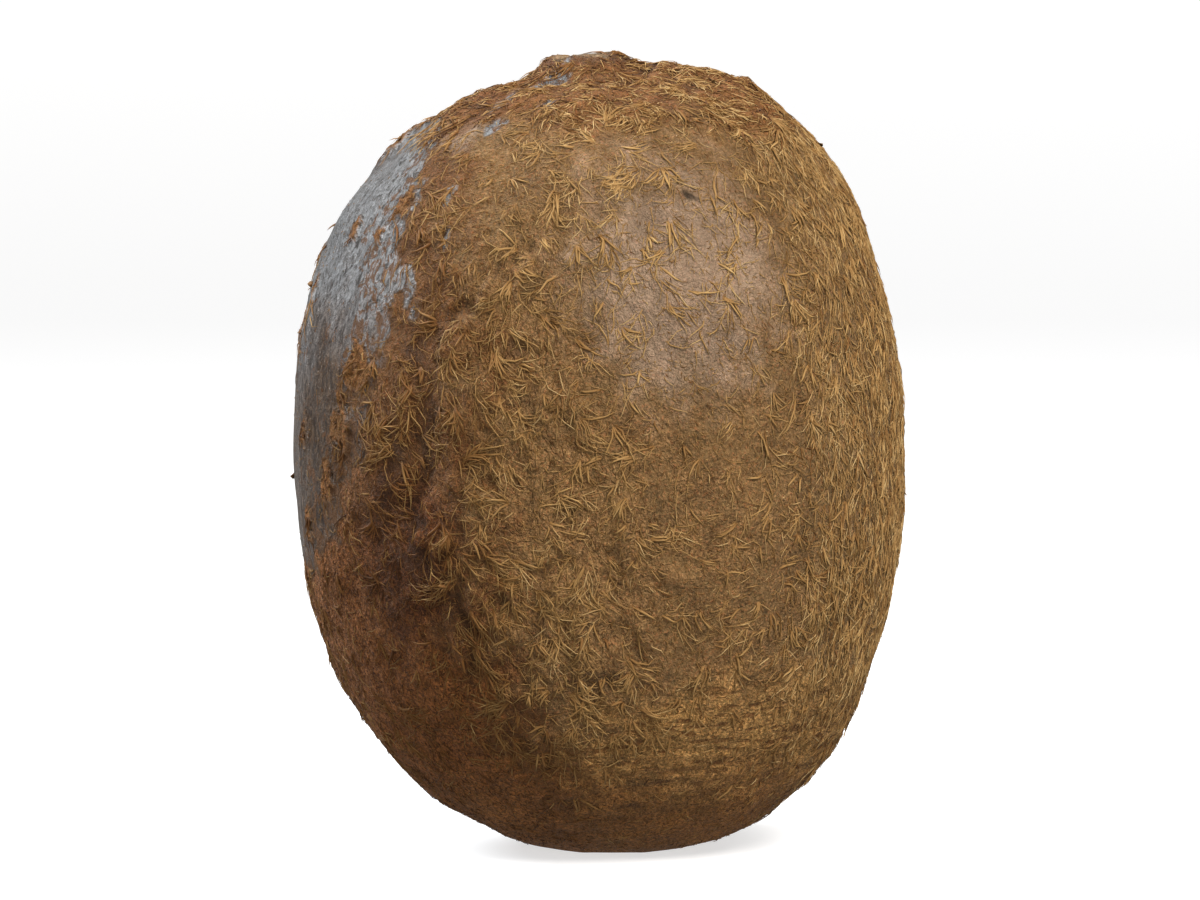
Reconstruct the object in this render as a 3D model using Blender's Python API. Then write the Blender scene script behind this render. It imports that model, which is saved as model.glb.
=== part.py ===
"""A whole kiwi fruit, as picked, standing on the flat ring round its blossom end.

Metres, +Z up, with the origin at the middle of the fruit's base and the side that
is usually shown towards -Y. The fruit grew as one piece, so it is one solid: a
barrel with squarer shoulders than hips, a low mound on top that holds the stem
scar, a dimple below that holds the dried flower styles, and the soft relief of
its matted fur.
"""

import math

import bmesh
import bpy
from mathutils import Vector, noise

# The barrel, in metres
FRUIT_WIDTH = 0.0520
FRUIT_DEPTH = 0.0494
CROWN_RISE = 0.0319
BASE_DROP = 0.0345
BASE_TRIM = 0.0005
SHOULDER_POWER = 2.45
HIP_POWER = 2.25
CROWN_LEAN = 0.0010
BASE_LEAN = 0.0017
LOBE_DEPTH = 0.0002

# The corky button on the crown, and the soft swelling of the crown beside it
BUTTON_MIDDLE = (-0.0008, 0.0003)
BUTTON_REACH = 0.0060
BUTTON_HEIGHT = 0.0014
BUTTON_EDGE = 0.52
BUTTON_WANDER = 0.22
SWELLING_MIDDLE = (0.0095, -0.0004)
SWELLING_REACH = 0.0100
SWELLING_HEIGHT = 0.0012

# The stem scar, sunk into the button, with the stump of the stalk in it
SCAR_MIDDLE = (-0.0010, 0.0003)
SCAR_RADIUS = 0.0026
SCAR_DEPTH = 0.0006
SCAR_RIM = 0.0002
STALK_RADIUS = 0.0013
STALK_STUMP = 0.0007

# The blossom end, inside the ring that the fruit rests on
DIMPLE_RADIUS = 0.0030
DIMPLE_DEPTH = 0.0012
STYLE_RADIUS = 0.0012
STYLE_LENGTH = 0.0006
REST_RING_RADIUS = 0.0060

# The relief of the fur and of the fruit's growth
SWELL_SIZE = 0.0135
SWELL_DEPTH = 0.00030
MAT_WIDTH = 0.0040
MAT_LENGTH = 0.0072
MAT_DEPTH = 0.00036
RELIEF_FADE = 0.0030

# Where the fur that covers the front ends towards the worn side, as a step up in the
# surface: height above the base and turn from the front towards +X in degrees.
FUR_EDGE = (
    (0.0080, -20.0),
    (0.0145, -24.0),
    (0.0213, -27.0),
    (0.0273, -34.0),
    (0.0383, -31.5),
    (0.0502, -37.0),
    (0.0600, -44.0),
)
FUR_STEP = 0.00040
FUR_STEP_TURN = 5.0
FUR_FADE_TURN = 38.0

# Lumps and hollows with a place of their own: turn from the front towards +X in
# degrees, height above the base, reach and rise, which is negative for a hollow.
LANDMARKS = (
    ("crown_lump", 84.0, 0.0655, 0.0030, 0.0005),
    ("left_flake", -88.0, 0.0607, 0.0026, 0.0006),
    ("left_shoulder", -96.0, 0.0480, 0.0120, 0.0003),
    ("polished_flat", -60.0, 0.0480, 0.0120, -0.0005),
    ("right_flat", 88.0, 0.0500, 0.0140, -0.0005),
    ("cheek", 18.0, 0.0500, 0.0120, 0.0004),
    ("core_groove", -34.0, 0.0330, 0.0075, -0.0005),
    ("fur_pad_left", -22.0, 0.0290, 0.0070, 0.0004),
    ("fur_pad_low", 4.0, 0.0150, 0.0090, 0.0003),
    ("back_flat", 165.0, 0.0360, 0.0160, -0.0006),
    ("back_cheek", 128.0, 0.0440, 0.0110, 0.0004),
)

# Quads along each of the twelve edges of the cube that the ball is blown from
BALL_QUADS = 28
# How far the points are drawn from the middle to the two ends, and then from
# the shoulders and hips to the ends and the middle
END_CROWDING = 0.13
SHOULDER_THINNING = 0.05

SKIN_COLOUR = (0.235, 0.140, 0.062, 1.0)
SKIN_ROUGHNESS = 0.72


def clear_scene():
    for found in list(bpy.data.objects):
        bpy.data.objects.remove(found, do_unlink=True)


def smooth_step(share):
    share = min(max(share, 0.0), 1.0)
    return share * share * (3.0 - 2.0 * share)


def even_ball():
    """A cube cut into square quads and blown up to a unit ball of even ones."""
    ball = bmesh.new()
    bmesh.ops.create_cube(ball, size=2.0)
    bmesh.ops.subdivide_edges(ball, edges=ball.edges[:], cuts=BALL_QUADS - 1, use_grid_fill=True)
    for point in ball.verts:
        spread = [math.tan(side * math.pi / 4.0) for side in point.co]
        point.co = Vector(spread).normalized()
    return ball


def barrel_point(direction):
    """Where the plain barrel, middle ring at height zero, meets a ray from its centre."""
    tilt = math.acos(max(-1.0, min(1.0, direction.z)))
    tilt -= END_CROWDING * math.sin(2.0 * tilt) + SHOULDER_THINNING * math.sin(4.0 * tilt)
    turn = math.atan2(direction.y, direction.x)
    out, up = math.sin(tilt), math.cos(tilt)
    power = SHOULDER_POWER if up > 0.0 else HIP_POWER
    reach = (abs(out) ** power + abs(up) ** power) ** (-1.0 / power)
    rise = CROWN_RISE if up > 0.0 else BASE_DROP
    lean = CROWN_LEAN if up > 0.0 else BASE_LEAN
    level = reach * up
    lobe = LOBE_DEPTH * math.cos(3.0 * turn + 0.6) * out
    return Vector((
        (FRUIT_WIDTH / 2.0 * reach * out + lobe) * math.cos(turn) + lean * level * level,
        (FRUIT_DEPTH / 2.0 * reach * out + lobe) * math.sin(turn),
        rise * level,
    ))


def landmark_rise(place, height):
    """The lumps and hollows felt at a place, whose height above the base is given."""
    rise = 0.0
    for _, turn, level, reach, lift in LANDMARKS:
        angle = math.radians(turn)
        around = math.hypot(place.x, place.y)
        middle = Vector((around * math.sin(angle), -around * math.cos(angle), level))
        apart = (Vector((place.x, place.y, height)) - middle).length
        rise += lift * smooth_step(1.0 - apart / reach)
    return rise


def fur_relief(place):
    """Broad swells of growth and longer, lower mats of fur that lie down the fruit."""
    swell = noise.noise(place / SWELL_SIZE + Vector((3.1, 7.4, 1.9)))
    along = Vector((place.x / MAT_WIDTH, place.y / MAT_WIDTH, place.z / MAT_LENGTH))
    mats = noise.noise(along) + 0.5 * noise.noise(1.9 * along + Vector((5.2, 0.7, 8.8)))
    return SWELL_DEPTH * swell + MAT_DEPTH * mats


def fur_step(place, height):
    """The step up from the worn side to the fur, which then thins out round the front."""
    first, last = FUR_EDGE[0], FUR_EDGE[-1]
    if not first[0] < height < last[0]:
        return 0.0
    for (low, low_turn), (high, high_turn) in zip(FUR_EDGE, FUR_EDGE[1:]):
        if height <= high:
            break
    edge = low_turn + (high_turn - low_turn) * (height - low) / (high - low)
    past = math.degrees(math.atan2(place.x, -place.y)) - edge
    step = smooth_step(past / FUR_STEP_TURN) * smooth_step(1.0 - past / FUR_FADE_TURN)
    ends = (height - first[0]) * (last[0] - height) / ((last[0] - first[0]) / 2.0) ** 2
    return FUR_STEP * step * smooth_step(2.0 * ends)


def mound_rise(x, y):
    """Height over the crown of its corky, ragged-edged button and of the swelling beside it."""
    wander = BUTTON_WANDER * noise.noise(Vector((x, y, 0.0)) / 0.0036 + Vector((9.0, 2.0, 4.0)))
    apart = math.hypot(x - BUTTON_MIDDLE[0], y - BUTTON_MIDDLE[1])
    button = BUTTON_HEIGHT * smooth_step((1.0 + wander - apart / BUTTON_REACH) / BUTTON_EDGE)
    apart = math.hypot(x - SWELLING_MIDDLE[0], y - SWELLING_MIDDLE[1])
    return button + SWELLING_HEIGHT * smooth_step(1.0 - apart / SWELLING_REACH)


def scar_rise(x, y):
    """The dished scar on the mound, with a low rim and the stump of the stalk."""
    apart = math.hypot(x - SCAR_MIDDLE[0], y - SCAR_MIDDLE[1])
    rim = SCAR_RIM * math.exp(-((apart - SCAR_RADIUS) / (0.35 * SCAR_RADIUS)) ** 2)
    dish = SCAR_DEPTH * smooth_step(1.25 * (1.0 - apart / SCAR_RADIUS))
    stump = STALK_STUMP * smooth_step(1.0 - apart / STALK_RADIUS)
    return rim - dish + stump


def dimple_rise(apart):
    """How far the blossom end is drawn up, at a distance from the middle of its ring."""
    dish = DIMPLE_DEPTH * smooth_step(1.4 * (1.0 - apart / DIMPLE_RADIUS))
    return dish - STYLE_LENGTH * smooth_step(1.0 - apart / STYLE_RADIUS)


def ring_distance(place):
    """Distance from the upright line through the middle of the resting ring."""
    return math.hypot(place.x - BASE_LEAN, place.y)


def shape_fruit(ball):
    """Turns the unit ball into the fruit, standing with its base on height zero."""
    for point in ball.verts:
        point.co = barrel_point(point.co)
    ball.normal_update()
    outward = [point.normal.copy() for point in ball.verts]
    floor = BASE_DROP - BASE_TRIM
    for point, normal in zip(ball.verts, outward):
        place = point.co.copy()
        at_top = place.z > 0.0
        apart = ring_distance(place)
        fade = 1.0 if at_top else smooth_step((apart - REST_RING_RADIUS) / RELIEF_FADE)
        height = place.z + floor
        lift = landmark_rise(place, height) + fur_relief(place) + fur_step(place, height)
        point.co = place + normal * lift * fade + Vector((0.0, 0.0, floor))
        if at_top:
            point.co.z += mound_rise(place.x, place.y) + scar_rise(place.x, place.y)
            continue
        if apart < REST_RING_RADIUS:
            point.co.z = 0.0
        point.co.z = max(point.co.z, 0.0)
        if apart < DIMPLE_RADIUS:
            point.co.z = dimple_rise(apart)


def centre_on_base(mesh):
    """Slides the mesh so that the middle of its width and depth is over the origin."""
    for axis in (0, 1):
        sides = [point.co[axis] for point in mesh.verts]
        middle = (min(sides) + max(sides)) / 2.0
        for point in mesh.verts:
            point.co[axis] -= middle


def skin_material():
    skin = bpy.data.materials.new("kiwi_skin")
    skin.use_nodes = True
    finish = skin.node_tree.nodes["Principled BSDF"]
    finish.inputs["Base Color"].default_value = SKIN_COLOUR
    finish.inputs["Roughness"].default_value = SKIN_ROUGHNESS
    finish.inputs["Metallic"].default_value = 0.0
    return skin


def make_fruit():
    ball = even_ball()
    shape_fruit(ball)
    centre_on_base(ball)
    mesh = bpy.data.meshes.new("kiwi_fruit")
    ball.to_mesh(mesh)
    ball.free()
    mesh.shade_smooth()
    mesh.materials.append(skin_material())
    fruit = bpy.data.objects.new("kiwi_fruit", mesh)
    bpy.context.scene.collection.objects.link(fruit)
    return fruit


clear_scene()
make_fruit()
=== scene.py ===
"""The kiwi fruit's looks: its worn and furry skin, its matted locks and its hairs.

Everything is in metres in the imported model's frame, +Z up, with the side that faces
the camera towards -Y. A place on the fruit is given by its height above the base and
by its turn: degrees round from the front, towards +X.
"""

import math

import bpy
import numpy as np
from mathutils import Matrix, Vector, noise
from mathutils.bvhtree import BVHTree
from mathutils.kdtree import KDTree


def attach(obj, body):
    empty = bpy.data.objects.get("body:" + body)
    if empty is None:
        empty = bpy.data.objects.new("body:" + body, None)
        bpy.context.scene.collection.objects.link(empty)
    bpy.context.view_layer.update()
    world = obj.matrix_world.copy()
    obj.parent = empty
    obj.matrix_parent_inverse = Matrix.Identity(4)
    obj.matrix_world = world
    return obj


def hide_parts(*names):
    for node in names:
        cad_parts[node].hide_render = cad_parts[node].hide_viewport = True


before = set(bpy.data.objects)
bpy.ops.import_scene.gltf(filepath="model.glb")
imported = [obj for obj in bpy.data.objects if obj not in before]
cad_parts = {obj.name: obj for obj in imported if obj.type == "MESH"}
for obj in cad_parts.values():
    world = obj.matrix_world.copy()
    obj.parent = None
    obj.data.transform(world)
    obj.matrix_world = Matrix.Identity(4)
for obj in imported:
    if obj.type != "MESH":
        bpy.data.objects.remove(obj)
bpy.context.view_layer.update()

MM = 0.001
FRUIT_HEIGHT = 0.0682

# A distance from the fruit's middle line that is well outside it
OUTSIDE = 0.08

# Where the polished bare patch ends towards the front: height in mm, turn in degrees
WORN_EDGE = (
    (22.0, -84.0),
    (24.7, -71.0),
    (27.3, -61.0),
    (29.8, -56.0),
    (34.9, -50.0),
    (39.6, -50.0),
    (43.4, -47.0),
    (47.7, -42.0),
    (53.9, -46.0),
    (59.6, -50.0),
    (62.5, -70.0),
)
WORN_BACK_EDGE = -121.0

# Where the thick fur of the front gives way to the smooth dark flank
FUR_EDGE = (
    (4.0, -14.0),
    (14.5, -24.0),
    (21.3, -27.0),
    (27.3, -34.0),
    (38.3, -33.0),
    (50.2, -37.0),
    (60.0, -50.0),
)

# Scraps of rusty felt left on the bare patch: turn, height, reach across and along in mm
FELT_SCRAPS = (
    (-52.5, 41.8, 1.5, 2.1),
    (-57.0, 37.2, 1.3, 1.9),
    (-67.0, 53.2, 0.55, 0.9),
    (-55.0, 53.0, 0.6, 0.9),
    (-50.0, 55.6, 0.8, 1.2),
    (-73.0, 36.0, 0.5, 1.3),
    (-62.0, 32.5, 0.8, 1.6),
    (-79.0, 48.4, 0.35, 0.9),
    (-84.0, 45.0, 0.3, 1.9),
    (-87.0, 60.7, 0.8, 1.1),
    (-72.0, 29.0, 0.7, 1.4),
    (-98.0, 50.5, 0.9, 1.4),
    (-108.0, 41.0, 1.1, 1.8),
    (-112.0, 54.5, 0.8, 1.2),
    (-104.0, 33.0, 0.8, 1.7),
)

# The spots high on the front take the painted grey sheen of the bare skin
# Small polished spots away from the bare patch: turn, height, reach across and along in mm
BARE_SPOTS = (
    (-44.0, 65.0, 0.9, 1.7),
    (-36.0, 61.9, 0.7, 0.6),
    (-22.0, 63.6, 0.6, 0.4),
    (-37.0, 56.5, 0.4, 1.1),
    (-34.0, 52.8, 0.3, 0.7),
    (-39.0, 46.9, 0.5, 0.9),
    (-134.0, 47.0, 0.9, 1.3),
    (-131.0, 36.5, 0.7, 1.5),
    (-129.0, 57.0, 0.7, 1.0),
)

# Partings that the hairs lie away from on every side: turn, height and reach in mm
PARTINGS = (
    (5.0, 60.8, 4.2),
    (2.0, 42.4, 3.0),
    (-16.0, 31.5, 3.2),
    (34.0, 24.0, 4.0),
    (118.0, 46.0, 4.5),
    (168.0, 30.0, 4.5),
    (-152.0, 52.0, 4.0),
)

# Soft-edged patches: turn, height in mm, reach round in degrees, reach along in mm, raggedness
PATCHES = {
    # The front cheek is paler partly as a painted highlight, where the key light falls
    "pale_cheek_and_highlight": (17.0, 50.3, 32.0, 13.5, 0.28),
    "pale_back": (148.0, 40.0, 26.0, 9.0, 0.30),
    "pale_shoulder": (-46.0, 61.6, 13.0, 2.2, 0.20),
    "low_mat": (-10.0, 27.0, 38.0, 20.0, 0.20),
    "high_mat": (-18.0, 45.0, 24.0, 12.0, 0.20),
    "back_mat": (-168.0, 38.0, 46.0, 22.0, 0.20),
    "combed_foot": (3.0, 15.0, 18.0, 10.0, 0.20),
    "brow": (4.0, 57.5, 44.0, 7.5, 0.20),
    "right_shoulder": (88.0, 60.0, 42.0, 8.0, 0.0),
    # Painted shade: a dark patch low on the left, where the shade between the key and side lights falls
    "painted_core_shadow": (-41.0, 26.5, 17.0, 10.0, 0.30),
}

# Locks and the broader mats under them: spacing, then the ranges of length, width and rise in mm
LOCK_SPACING = 1.25 * MM
LOCK_SIZES = ((1.9, 4.2), (0.70, 1.40), (0.12, 0.40))
MAT_SPACING = 2.6 * MM
MAT_SIZES = ((3.0, 6.5), (1.4, 2.8), (0.14, 0.42))

# How many hairs of each kind there are
TUFT_HAIRS = 13000
CLUMPS = 3000
LOOSE_HAIRS = 8500
FUZZ_HAIRS = 37500
STYLES = 26

# The rings of a long hair and of a short one, as shares of its length from the root
LONG_RINGS = (0.0, 0.33, 0.70, 1.0)
SHORT_RINGS = (0.0, 0.5, 1.0)

# How far each ring stands off the skin and how thick the hair is there, in mm
HAIR_FORM = ((0.0, 0.08, 0.12, 0.08), (0.110, 0.086, 0.054, 0.0))
CLUMP_FORM = ((0.0, 0.09, 0.17, 0.15), (0.17, 0.155, 0.095, 0.0))
FLAKE_FORM = ((0.0, 0.14, 0.30, 0.42), (0.26, 0.34, 0.22, 0.0))
STYLE_FORM = ((0.05, 0.12, 0.20, 0.26), (0.16, 0.15, 0.12, 0.0))
FUZZ_FORM = ((0.0, 0.05, 0.05), (0.055, 0.048, 0.0))

# How deep every root is sunk and the least height of a hair over the floor, in mm
ROOT_DEPTH = 0.10
LEAST_HEIGHT = 0.04

# The most that a hair's own lift raises its rings by, as a factor
MOST_LIFT = 1.6

# The share of the hairs' map that is left free along each edge
MAP_MARGIN = 0.02

# How much the zones add to the number of long hairs, and then by what shares they change it
CROWD_GAINS = (("matted", 0.45), ("right_side", 1.1), ("crown", 0.9), ("rusty", 0.45))
CROWD_FACTORS = (
    ("pale", 0.10),
    ("flank", -0.40),
    ("wrinkled", -0.70),
    ("worn", -0.985),
    ("base", -0.75),
    ("scar", -0.98),
)

# How the zones make the hairs lighter or darker
SHADE_SHIFTS = (
    ("broad", 0.06),
    ("ragged", 0.05),
    ("crown", -0.15),
    ("flank", -0.10),
    ("base", -0.14),
    ("rusty", -0.22),
    # Painted shade: hairs darker in the dark patch low on the left
    ("core_shadow", -0.22),
    ("wrinkled", -0.08),
    # Partly painted highlight: hairs lighter in the pale patches, the front cheek among them
    ("pale", 0.14),
    ("right_side", 0.02),
    ("rust", -0.16),
    ("brow", 0.02),
)

# The quarters that tufts, loose hairs and fuzz are parted into: name, first turn, last turn
SECTORS = (
    ("front_left", -90.0, 0.0),
    ("front_right", 0.0, 90.0),
    ("back_right", 90.0, 181.0),
    ("back_left", -181.0, -90.0),
)

# The zones that the skin's material reads
STORED_ZONES = ("worn", "frayed", "painted_sheen", "matted", "wrinkled", "pale", "flank", "base")

# The seeds of the random draws
LOCK_SEED = 11
MAT_SEED = 61
HAIR_SEED = 23
LOOSE_SEED = 29
FUZZ_SEED = 37
CLUMP_SEED = 83
FLAKE_SEED = 53
STYLE_SEED = 71

# The skin's broad colours, as linear red, green and blue
TONES = {
    "middle": (0.215, 0.112, 0.043),
    "rusty": (0.131, 0.049, 0.013),
    # Pale bare skin; on the front cheek partly a painted highlight
    "pale": (0.342, 0.236, 0.166),
    "right_side": (0.236, 0.132, 0.055),
    "crown": (0.180, 0.067, 0.018),
    "flank": (0.206, 0.073, 0.019),
    # Painted shade of the dark patch low on the left
    "core_shadow": (0.060, 0.017, 0.004),
    "wrinkled": (0.338, 0.176, 0.055),
    "base": (0.198, 0.078, 0.020),
    "rust": (0.190, 0.078, 0.021),
    # Painted shade inside the clefts round the stem's scar
    "shaded_cleft": (0.060, 0.018, 0.006),
    "scar": (0.270, 0.170, 0.095),
    "scar_rim": (0.100, 0.045, 0.020),
    "stump": (0.130, 0.080, 0.048),
    "blossom": (0.060, 0.030, 0.014),
}

# Dark bruises and pits: turn, height, reach across and along in mm, and how dark
BRUISES = (
    (22.0, 56.4, 0.45, 0.40, 0.75),
    (24.5, 56.0, 0.30, 0.30, 0.60),
    (-1.6, 21.3, 0.8, 0.45, 0.70),
    (1.0, 16.6, 2.6, 1.0, 0.50),
    (13.5, 7.6, 1.8, 0.5, 0.45),
    (11.0, 5.3, 1.4, 0.4, 0.45),
    (-42.0, 34.0, 1.6, 3.4, 0.45),
    (-38.0, 44.0, 1.2, 2.2, 0.40),
    (96.0, 52.0, 0.8, 0.9, 0.60),
    (140.0, 22.0, 1.4, 1.0, 0.55),
    (-160.0, 44.0, 1.0, 1.2, 0.60),
    (178.0, 55.0, 0.8, 0.7, 0.70),
)

# The stem's scar on the crown and the dried flower at the blossom end: x, y and reach, in mm
STEM_SCAR = (-1.2, 0.3, 2.6)
BLOSSOM_END = (1.5, 0.0, 3.0)

# A distance in mm that no zone reaches
FAR_OFF = 1e3

# Bumps and hollows of the crown: x, y, reach and rise, in mm
CROWN_BUMPS = (
    (-1.6, 0.2, 3.2, 0.62),
    (-1.1, -2.2, 1.7, 0.42),
    (2.2, 0.0, 1.5, -0.22),
    (-4.4, 0.2, 1.8, 0.35),
    (3.4, -0.2, 3.2, -0.45),
    (12.3, -0.5, 1.1, 0.55),
    (-15.0, 2.0, 2.4, -0.35),
)

# Each cleft is sunk a little and painted very dark, as painted shade in it
# Dark clefts round the stem's scar: turn, distance from its middle, reach round and reach out, in mm
CLEFTS = (
    (-24.0, 6.2, 1.9, 0.55),
    (34.0, 7.0, 2.4, 0.50),
    (72.0, 6.3, 1.5, 0.45),
    (-98.0, 6.4, 2.2, 0.50),
    (168.0, 6.6, 2.6, 0.50),
    (-150.0, 5.4, 1.2, 0.40),
)

# Dry flakes of skin that stand off at the tip: turn and height in mm
FLAKES = (
    (-86.0, 61.0),
    (-92.0, 53.6),
    (-88.0, 51.8),
    (-90.0, 48.4),
    (-95.0, 32.0),
    (-97.0, 26.5),
    (-30.0, 24.5),
    (86.0, 53.8),
    (92.0, 60.2),
    (74.0, 66.0),
    (100.0, 24.0),
    (150.0, 50.0),
    (-160.0, 30.0),
    (-124.0, 44.0),
    (-117.0, 52.0),
)


def smooth_step(share):
    share = np.clip(share, 0.0, 1.0)
    return share * share * (3.0 - 2.0 * share)


def noise_at(places, size, seed):
    """Smooth noise of about -1 to 1 at each place. Size may differ along the three axes."""
    shift = Vector((seed * 3.7, seed * 1.3 + 5.0, seed * 2.1 - 4.0))
    spots = np.asarray(places) / np.asarray(size)
    values = [noise.noise(Vector(spot) + shift) for spot in spots]
    return np.clip(np.array(values) * 1.6, -1.0, 1.0)


def turns_of(places):
    return np.degrees(np.arctan2(places[:, 0], -places[:, 1]))


def place_on(form_tree, turn, height):
    """The point of the form at a turn in degrees and a height in mm."""
    angle = math.radians(turn)
    outward = Vector((math.sin(angle), -math.cos(angle), 0.0))
    start = Vector((0.0, 0.0, height * MM)) + outward * OUTSIDE
    return form_tree.ray_cast(start, -outward)[0]


def deselect_all():
    bpy.ops.object.select_all(action="DESELECT")


def use(piece):
    deselect_all()
    piece.select_set(True)
    bpy.context.view_layer.objects.active = piece


def add_modifier(piece, kind, **settings):
    """Adds a modifier to a piece and applies it."""
    use(piece)
    modifier = piece.modifiers.new(kind.lower(), kind)
    for name, value in settings.items():
        setattr(modifier, name, value)
    bpy.ops.object.modifier_apply(modifier=modifier.name)


def points_of(mesh):
    values = np.empty(len(mesh.vertices) * 3, np.float32)
    mesh.vertices.foreach_get("co", values)
    return values.reshape(-1, 3).astype(float)


def normals_of(mesh):
    values = np.empty(len(mesh.vertices) * 3, np.float32)
    mesh.vertex_normals.foreach_get("vector", values)
    return values.reshape(-1, 3).astype(float)


def corners_of(mesh):
    """The four corners of each face of an all-quad mesh."""
    values = np.empty(len(mesh.loops), np.int32)
    mesh.loops.foreach_get("vertex_index", values)
    return values.reshape(-1, 4)


def move_points(mesh, points):
    mesh.vertices.foreach_set("co", points.astype(np.float32).ravel())
    mesh.update()


def unit(vectors):
    return vectors / np.maximum(np.linalg.norm(vectors, axis=-1, keepdims=True), 1e-12)


def swing(way, side, degrees):
    """Turns each way towards its side, each by its own degrees."""
    turned = np.radians(degrees)[:, None]
    return way * np.cos(turned) + side * np.sin(turned)


# The skin's form


def smooth_form():
    """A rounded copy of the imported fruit, which the skin is drawn onto."""
    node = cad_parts["kiwi_fruit"]
    form = node.copy()
    form.data = node.data.copy()
    form.parent = None
    form.name = "rounded_form"
    bpy.context.scene.collection.objects.link(form)
    use(form)
    bpy.ops.object.mode_set(mode="EDIT")
    bpy.ops.mesh.select_all(action="SELECT")
    bpy.ops.mesh.remove_doubles(threshold=2e-6)
    bpy.ops.mesh.tris_convert_to_quads()
    bpy.ops.object.mode_set(mode="OBJECT")
    add_modifier(form, "SUBSURF", levels=2, render_levels=2)
    return form


def skin_blank(form):
    """An even shell of small square faces, drawn tight onto the form."""
    deselect_all()
    bpy.ops.mesh.primitive_cube_add(size=0.05, location=(0.0, 0.0, FRUIT_HEIGHT / 2.0))
    skin = bpy.context.object
    skin.name = "skin"
    skin.data.name = "skin"
    bpy.ops.object.mode_set(mode="EDIT")
    bpy.ops.mesh.select_all(action="SELECT")
    bpy.ops.mesh.subdivide(number_cuts=7)
    bpy.ops.object.mode_set(mode="OBJECT")
    add_modifier(skin, "CAST", cast_type="SPHERE", factor=1.0, radius=0.030, use_radius_as_size=False)
    add_modifier(skin, "SUBSURF", levels=4, render_levels=4)
    use(skin)
    skin.scale = (0.85, 0.80, 1.12)
    bpy.ops.object.transform_apply(location=True, rotation=True, scale=True)
    add_modifier(skin, "SHRINKWRAP", target=form, wrap_method="NEAREST_SURFACEPOINT")
    bpy.data.objects.remove(form, do_unlink=True)
    skin.data.shade_smooth()
    return skin


# What grows where


class Places:
    """The skin's points by turn and height, with the noises that blur the edges of zones."""

    def __init__(self, points):
        self.turn = turns_of(points)
        self.height = points[:, 2] / MM
        self.x = points[:, 0] / MM
        self.y = points[:, 1] / MM
        self.radius = np.hypot(points[:, 0], points[:, 1])
        self.broad = noise_at(points, 6.0 * MM, 1)
        self.ragged = noise_at(points, 1.7 * MM, 2)
        self.fine = noise_at(points, 0.75 * MM, 3)
        self.wander = 5.0 * self.broad + 5.5 * self.ragged + 2.5 * self.fine

    def apart_from(self, turn, height, across, along):
        """How far each point is from a spot, where 1 is as far as the spot reaches."""
        aside = np.radians(self.turn - turn) * self.radius / MM
        return np.hypot(aside / across, (self.height - height) / along)

    def patch(self, name):
        """How deep inside a named patch each point is, from 0 to 1."""
        turn, height, reach_round, reach_along, raggedness = PATCHES[name]
        apart = np.hypot((self.turn - turn) / reach_round, (self.height - height) / reach_along)
        return smooth_step(1.6 * (1.0 - apart) + raggedness * self.ragged + 0.2 * self.broad)


def worn_zones(at):
    """The polished bare skin, the scraps of felt on it, the frayed fur round it and its painted sheen."""
    edge = np.interp(at.height, *zip(*WORN_EDGE))
    worn = smooth_step((edge - at.turn + at.wander) / 3.0)
    worn *= smooth_step((at.turn - WORN_BACK_EDGE + 1.8 * at.wander) / 7.0)
    ends = smooth_step((at.height - 23.0 + 0.35 * at.wander) / 2.0)
    ends *= smooth_step((63.0 - at.height + 0.2 * at.wander) / 1.2)
    worn *= ends
    rust = np.zeros(len(worn))
    for scrap in FELT_SCRAPS:
        inside = 1.25 - at.apart_from(*scrap) + 0.45 * at.fine + 0.25 * at.ragged
        rust = np.maximum(rust, smooth_step(inside / 0.35))
    for spot in BARE_SPOTS:
        inside = 1.2 - at.apart_from(*spot) + 0.5 * at.fine + 0.3 * at.ragged
        worn = np.maximum(worn, smooth_step(inside / 0.4))
    worn *= 1.0 - rust
    frayed = smooth_step((at.turn - edge + 22.0 + 2.0 * at.wander) / 18.0)
    frayed_behind = smooth_step((WORN_BACK_EDGE + 26.0 - at.turn + 2.0 * at.wander) / 24.0)
    # Painted sheen: the upper bare skin that faces the cool side light is coloured grey-white, as its
    # reflection
    painted_sheen = smooth_step((at.height - 39.0 + 2.5 * at.ragged + 3.5 * at.broad) / 13.0)
    painted_sheen *= smooth_step((at.turn + 112.0 + 1.5 * at.wander) / 34.0)
    return {
        "worn": worn,
        "rust": rust,
        "frayed": np.maximum(frayed, frayed_behind),
        "painted_sheen": painted_sheen,
    }


def fur_edge_zones(at, worn):
    """The edge of the front's thick fur, with its ridge and a painted shadow by it, and the flank beside it.
    """
    fur_edge = np.interp(at.height, *zip(*FUR_EDGE))
    flank = smooth_step((fur_edge - at.turn + at.wander) / 7.0)
    flank *= smooth_step((at.turn + 120.0 + at.wander) / 25.0)
    flank *= smooth_step((36.0 - at.height + at.broad * 3.0) / 9.0)
    flank *= 1.0 - worn
    past = at.turn - fur_edge + 0.5 * at.wander
    level = smooth_step((at.height - 10.0) / 5.0)
    level *= smooth_step((46.0 - at.height + 3.0 * at.broad) / 8.0)
    rusty = smooth_step((6.0 - at.turn + fur_edge + 14.0 + at.wander) / 16.0)
    rusty *= smooth_step((at.turn + 150.0 + at.wander) / 20.0)
    return {
        "flank": flank,
        "ridge": smooth_step(past / 2.5) * smooth_step((10.0 - past) / 8.0) * level,
        # Painted shadow: a dark band beside the ridge, where the skin is not sunk
        "painted_ridge_shadow": smooth_step(1.0 - np.abs(past + 2.2) / 3.4) * level,
        "rusty": rusty * (1.0 - worn),
    }


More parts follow.
